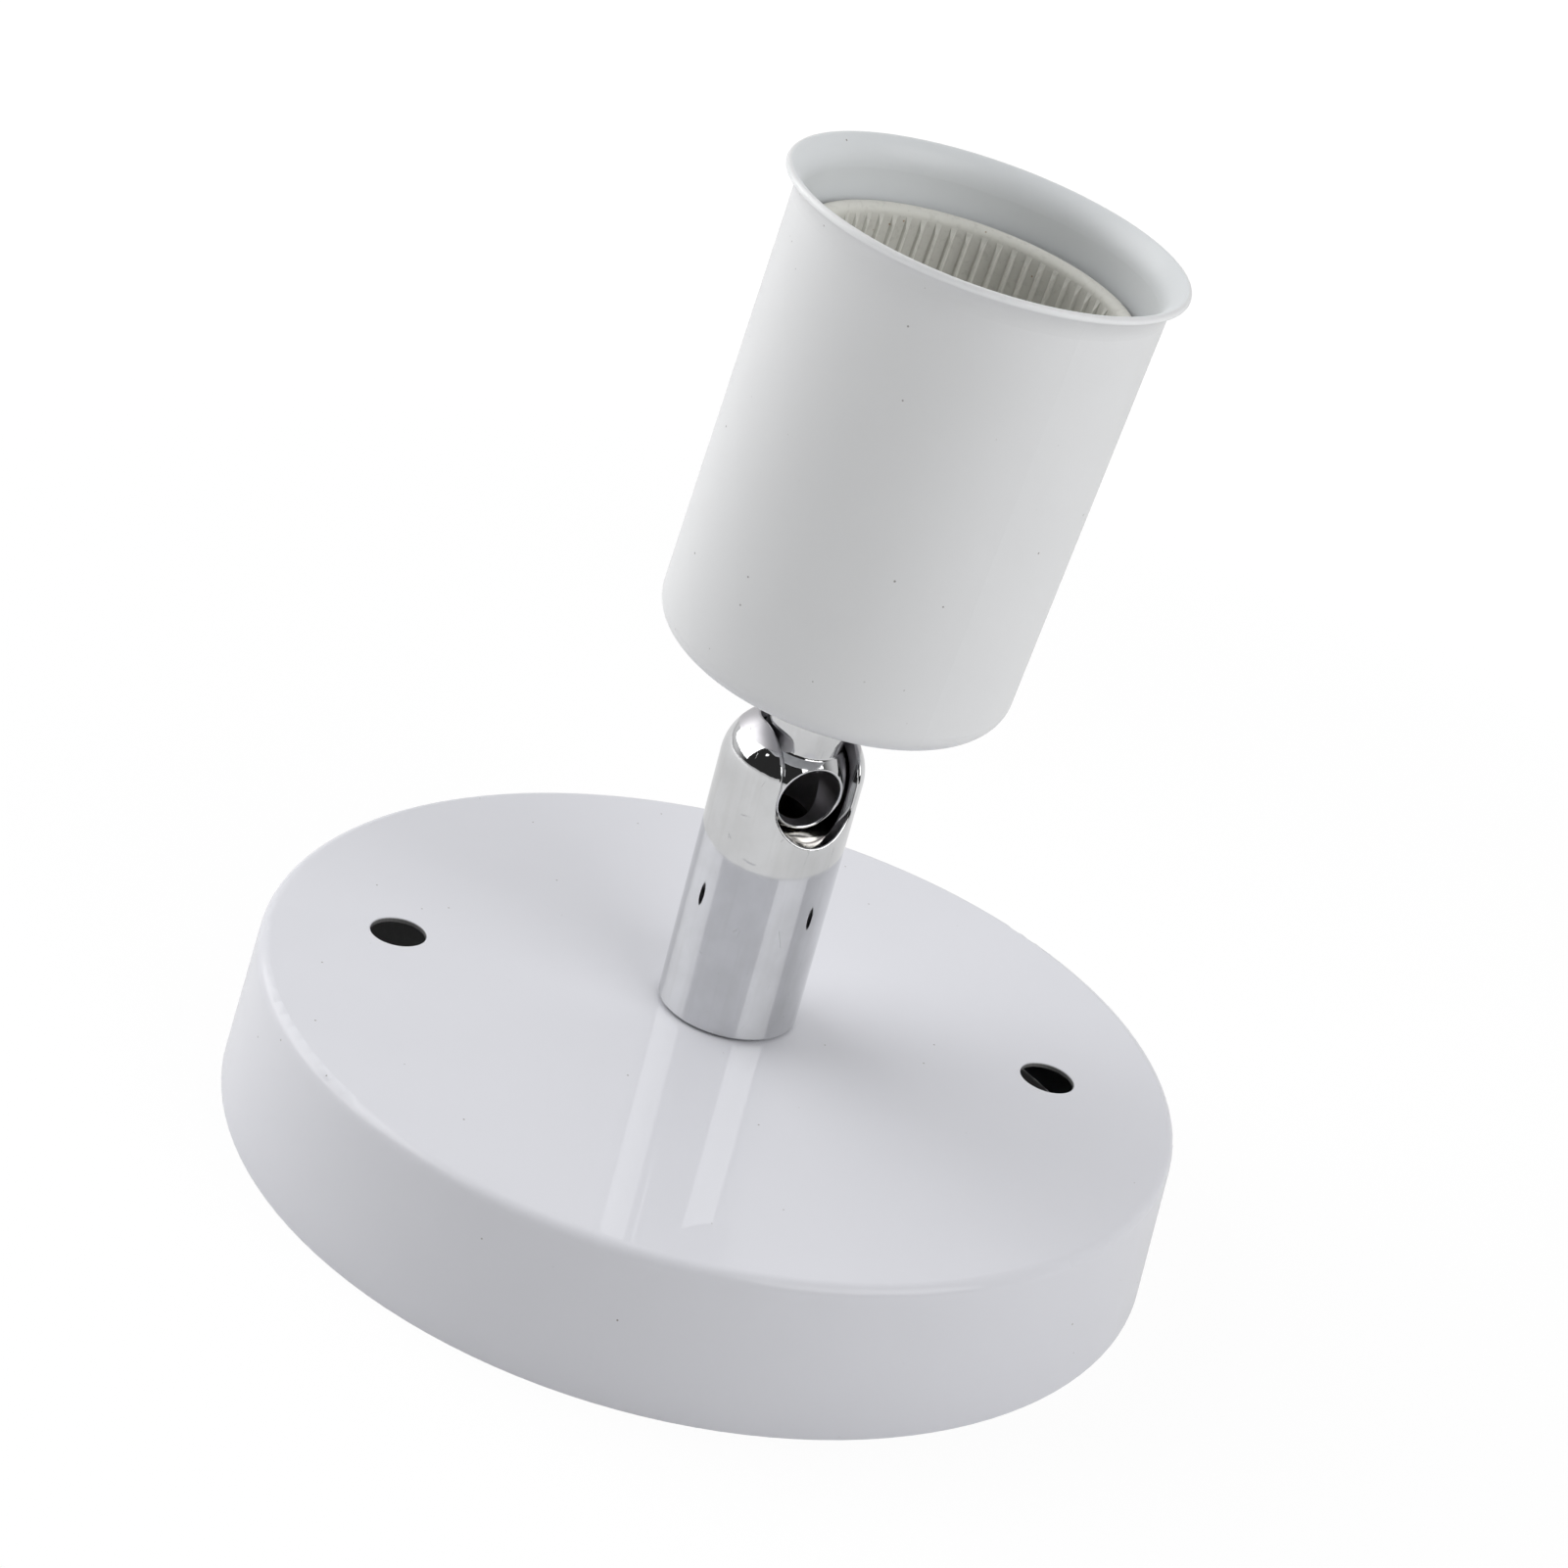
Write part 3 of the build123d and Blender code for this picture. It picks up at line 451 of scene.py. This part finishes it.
zinc_steel = zinc_plated("zinc_plated_steel")
temper_steel = spring_steel("spring_steel_blued")
finish_node("canopy_washer", zinc_steel)
finish_node("canopy_lock_washer", temper_steel)
finish_node("canopy_nut", zinc_steel)


# Column: a tube turned and domed in one piece, slotted down one side, then buffed and chromed. Buffing has
# left faint upright streaks, and handling a few hairlines.
def polished_chrome(name, origin, axis, plated_from, ball=False):
    """Bright chrome over a buffed base, a mirror with slow waves and stray hairlines, and dull bare metal
    in the bores, nearer the axis, or the centre of a ball, than the plated radius.
    """
    chrome = Finish(bpy.data.materials.new(name))
    place = chrome.place()
    from_origin = place.seen_from(origin)
    reach = from_origin.length() if ball else from_origin.off_axis(axis)
    bare = reach.rise(plated_from, plated_from - 0.0002)
    film = chrome.clouds(place, 0.0045, 4.0)
    hair = chrome.node(
        "TexVoronoi",
        {"feature": "DISTANCE_TO_EDGE"},
        {"Vector": place.stretched((1.0, 1.0, 0.35)), "Scale": 240.0, "Randomness": 1.0},
    )
    handled = chrome.clouds(place, 0.0030).rise(0.61, 0.66)
    hairline = hair.rise(0.012, 0.003) * handled
    rings = lathe_rings(chrome, place, origin, axis, 0.00025)
    streaks = chrome.clouds(from_origin.stretched((1.0, 1.0, 0.06)), 0.0009, 3.0)
    waves = chrome.relief(chrome.clouds(place, 0.0050, 2.0), 3.5 * micron)
    waves = chrome.relief(streaks, 0.3 * micron, waves)
    bright = chrome.blend(film.rise(0.3, 0.75), (0.680, 0.686, 0.696), (0.622, 0.625, 0.632))
    bright = chrome.blend(streaks.rise(0.45, 0.70) * 0.3, bright, (0.585, 0.585, 0.585))
    bright = chrome.blend(hairline * 0.3, bright, (0.300, 0.300, 0.305))
    return chrome.surface(
        Base_Color=chrome.blend(bare, bright, (0.52, 0.51, 0.53)),
        Metallic=1.0,
        Roughness=0.020 + 0.035 * film + 0.010 * rings + 0.25 * hairline + 0.34 * bare,
        Normal=chrome.relief(hairline, 2 * micron, waves),
    )


ball_centre = Vector((0.0, 0.0, 0.0522))
head_tilt = radians(7.5)
slot_direction = Vector((cos(slot_heading), sin(slot_heading), 0.0))
neck_direction = slot_direction * sin(head_tilt) + Vector(upright) * cos(head_tilt)
finish_node("swivel_column", polished_chrome("chrome_column", middle, upright, 0.0077))

# Foot bush and friction washer: a brass ring pressed into the column's foot, which turns on the stud's hub,
# and a red fibre ring under it that gives the swivel its drag.
finish_node("foot_bush", stud_brass)
fibre = Finish(bpy.data.materials.new("vulcanised_fibre"))
place = fibre.place()
flecks = fibre.clouds(place, 0.00045, 5.0)
finish_node(
    "friction_washer",
    fibre.surface(
        Base_Color=fibre.blend(flecks, (0.20, 0.045, 0.025), (0.34, 0.10, 0.06)),
        Roughness=0.62 + 0.2 * flecks,
        Normal=fibre.relief(flecks, 15 * micron),
    ),
)

# Spring nut, disc springs and seat ring: the stack in the column's bore that presses the ball up into its
# seat. The ring is nickel plated, and its bevel shows through the slot.
finish_node("spring_nut", stud_brass)
finish_node("disc_springs", temper_steel)


def bright_nickel(name, origin, axis):
    """Nickel plating: a warm grey mirror over the rings or rolling marks of what lies under it."""
    nickel = Finish(bpy.data.materials.new(name))
    place = nickel.place()
    rings = lathe_rings(nickel, place, origin, axis, 0.00015)
    film = nickel.clouds(place, 0.004, 4.0)
    return nickel.surface(
        Base_Color=nickel.blend(film, (0.72, 0.70, 0.66), (0.62, 0.60, 0.56)),
        Metallic=1.0,
        Roughness=0.08 + 0.12 * film + 0.06 * rings,
        Normal=nickel.relief(rings, 0.2 * micron),
    )


finish_node("seat_ring", bright_nickel("nickel_seat", middle, upright))

# Ball, neck and collar: turned in one piece and chromed like the column, with a hole through the ball for
# the leads that shows dark in the slot.
neck_axis = tuple(neck_direction)
ball_origin = tuple(ball_centre)
finish_node("swivel_ball", polished_chrome("chrome_ball", ball_origin, neck_axis, 0.0068, ball=True))

# Cup: drawn from sheet steel, its lip curled outwards, and coated satin white. The coat is glossiest on the
# lip, whose rolled edge also carries a painted highlight, and dullest on the inner wall. It holds a few dark
# specks of dust, and deep inside, down by the porcelain, its inner wall is darkened with painted shade.
satin = Finish(bpy.data.materials.new("satin_white_powder_coat"))
place = satin.place()
from_ball = place.seen_from(ball_origin)
facing = satin.node("TexCoord", output="Normal")
outwards = from_ball.along(facing) - from_ball.along(neck_axis) * facing.along(neck_axis)
inside = outwards.rise(0.002, -0.002)
cup_white = satin.blend(satin.clouds(place, 0.02), (0.712, 0.719, 0.727), (0.742, 0.749, 0.757))
inner_white = satin.blend(satin.clouds(place, 0.01), (0.715, 0.738, 0.754), (0.740, 0.763, 0.779))
grit = specks(satin, place, spacing=0.0015, size=0.00017, share=0.06)
grit = grit + specks(satin, place, spacing=0.0023, size=0.00010, share=0.12)
peel = satin.relief(satin.clouds(place, 0.0007, 2.0), 5 * micron)
peel = satin.relief(satin.clouds(place, 0.0045, 1.0), 6 * micron, peel)
# The lip's rolled edge gets a glossier coat and a whiter colour; the whiter colour is a painted highlight.
glossy_brim_and_painted_highlight = from_ball.off_axis(neck_axis).rise(0.0229, 0.0232)
cup_colour = satin.blend(inside, cup_white, inner_white)
cup_colour = satin.blend(glossy_brim_and_painted_highlight, cup_colour, (0.88, 0.89, 0.90))
# Deep inside, the inner wall is darkened in uneven patches: painted shade in the gap by the porcelain.
painted_shade_deep_inside = from_ball.along(neck_axis).rise(0.0655, 0.0645) * inside
cup_colour = satin.blend(painted_shade_deep_inside * (0.2 + 0.8 * satin.clouds(place, 0.004)), cup_colour, (0.10, 0.10, 0.10))
finish_node(
    "cup",
    satin.surface(
        Base_Color=satin.blend(grit, cup_colour, (0.28, 0.27, 0.26)),
        Roughness=0.42 + 0.06 * satin.clouds(place, 0.003),
        Coat_Weight=0.35 - 0.22 * inside + 0.50 * glossy_brim_and_painted_highlight,
        Coat_Roughness=0.16,
        Normal=peel,
    ),
)

# Cup washer, lock washer and nut: the same set as in the canopy, clamping the cup and the bracket on the
# neck's thread. The washer keeps the thin sheet from bending.
finish_node("cup_washer", zinc_steel)
finish_node("cup_lock_washer", temper_steel)
finish_node("cup_nut", zinc_steel)

# Bracket with its screws and square nuts: a bent steel strap, zinc plated, whose feet hold the porcelain.
# The slotted screws go in from below.
finish_node("lamp_bracket", zinc_plated("zinc_plated_strap"))
finish_node("bracket_screws", zinc_steel)
finish_node("bracket_nuts", zinc_steel)

# Porcelain insert: pressed and fired steatite, warm white and unglazed, with fine ribs down the inside of its
# skirt. Its mouth is left plain, and the valleys between the ribs are darkened with painted shade.
fired = Finish(bpy.data.materials.new("steatite_porcelain"))
place = fired.place()
pores = fired.clouds(place, 0.00035, 4.0)
mottle = fired.clouds(place, 0.0040, 3.0)
warm_white = fired.blend(mottle, (0.655, 0.652, 0.605), (0.705, 0.702, 0.655))
from_ball = place.seen_from(ball_origin)
from_neck_axis = from_ball.off_axis(neck_axis)
# The valleys between the ribs, below the mouth, are darkened: painted shade. The grain adds darker patches of
# the porcelain's own tone.
painted_shade_valleys = from_neck_axis.rise(0.01764, 0.01780) * from_ball.along(neck_axis).rise(0.0655, 0.0640)
inner_half = from_neck_axis.rise(0.0186, 0.0184)
grain = fired.clouds(place, 0.0007, 4.0).rise(0.50, 0.72)
grain_and_painted_valley_shade = fired.blend(painted_shade_valleys * inner_half * 0.55 + grain * 0.40, warm_white, (0.52, 0.515, 0.475))
iron = specks(fired, place, spacing=0.0016, size=0.00016, share=0.16)
biscuit = fired.relief(pores, 12 * micron)
finish_node(
    "porcelain_body",
    fired.surface(
        Base_Color=fired.blend(iron, grain_and_painted_valley_shade, (0.36, 0.28, 0.20)),
        Roughness=0.48 + 0.2 * pores,
        Normal=fired.relief(mottle, 15 * micron, biscuit),
    ),
)

# Screw shell: rolled from thin nickel-plated sheet. The lamp's thread is rolled through the whole wall, and
# the flange at its top rests on the porcelain's ledge.
head_base = Matrix.Translation(ball_centre) @ neck_direction.to_track_quat("Z", "Y").to_matrix().to_4x4()
shell_floor = 36.0
shell_ledge = 51.0
shell_hole = 8.8
shell_foot = 12.5
shell_bore = 13.3
shell_rim = 15.2
shell_sheet = 0.4
rolled_pitch = 3.629
rolled_depth = 1.05
rolled_from = shell_floor + 4.4
rolled_to = shell_ledge - 1.0


def rolled(off_bore):
    """The threaded wall from its foot up, at a distance from the bore. The thread fades out at both ends."""
    rows = []
    for row in range(61):
        height = rolled_from + (rolled_to - rolled_from) * row / 60
        fade = min(1.0, (height - rolled_from) / 0.9, (rolled_to - height) / 0.9)
        rows.append((shell_bore + off_bore, height, fade * fade * (3 - 2 * fade)))
    return rows


shell_profile = [
    (shell_hole, shell_floor, 0.0),
    (shell_foot - 0.2, shell_floor, 0.0),
    (shell_foot + 0.22, shell_floor + 0.18, 0.0),
    (shell_foot + shell_sheet, shell_floor + 0.6, 0.0),
    (shell_foot + shell_sheet, shell_floor + 3.0, 0.0),
    (shell_bore + shell_sheet, shell_floor + 4.1, 0.0),
    *rolled(shell_sheet),
    (shell_bore + shell_sheet, shell_ledge - 0.9, 0.0),
    (shell_bore + 0.65, shell_ledge - 0.27, 0.0),
    (shell_bore + 1.3, shell_ledge, 0.0),
    (shell_rim, shell_ledge, 0.0),
    (shell_rim, shell_ledge + shell_sheet, 0.0),
    (shell_bore + 1.2, shell_ledge + shell_sheet, 0.0),
    (shell_bore + 0.35, shell_ledge + 0.05, 0.0),
    (shell_bore, shell_ledge - 0.8, 0.0),
    *rolled(0.0)[::-1],
    (shell_bore, shell_floor + 4.1, 0.0),
    (shell_foot, shell_floor + 3.15, 0.0),
    (shell_foot, shell_floor + 0.7, 0.0),
    (shell_foot - 0.12, shell_floor + 0.48, 0.0),
    (shell_foot - 0.35, shell_floor + shell_sheet, 0.0),
    (shell_hole, shell_floor + shell_sheet, 0.0),
]
shell = spin("screw_shell_threaded", shell_profile, head_base, 160, rolled_pitch, rolled_depth)
shell_nickel = bright_nickel("nickel_shell", ball_origin, neck_axis)
stand_for(shell, "screw_shell", "head", shell_nickel)


# Contacts: springy brass strips, a tongue that rises to touch the lamp's tip and a foot on the shell, each
# riveted to the porcelain's floor with its leg down to a terminal.
def strip_brass(name):
    """Rolled brass strip: straight rolling grain, a brown film and worn bright spots."""
    brass = Finish(bpy.data.materials.new(name))
    place = brass.place()
    grain = brass.clouds(place.stretched((1.0, 14.0, 14.0)), 0.0022, 4.0)
    film = brass.clouds(place, 0.0026, 4.0)
    return brass.surface(
        Base_Color=brass.blend(film.rise(0.35, 0.7), (0.76, 0.58, 0.30), (0.58, 0.40, 0.20)),
        Metallic=1.0,
        Roughness=0.18 + 0.20 * film + 0.06 * grain,
        Normal=brass.relief(grain, 3 * micron),
    )


contact_brass = strip_brass("rolled_brass_strip")
finish_node("centre_contact", contact_brass)
finish_node("shell_contact", contact_brass)
finish_node("contact_rivets", contact_brass)

# Terminals: two sawn brass blocks in the porcelain's lower pockets, one for each lead, with a zinc plated
# screw driven in from outside.
terminal_brass = turned_brass("sawn_brass_block", ball_origin, neck_axis)
finish_node("line_terminal", terminal_brass)
finish_node("neutral_terminal", terminal_brass)
finish_node("terminal_screws", zinc_steel)
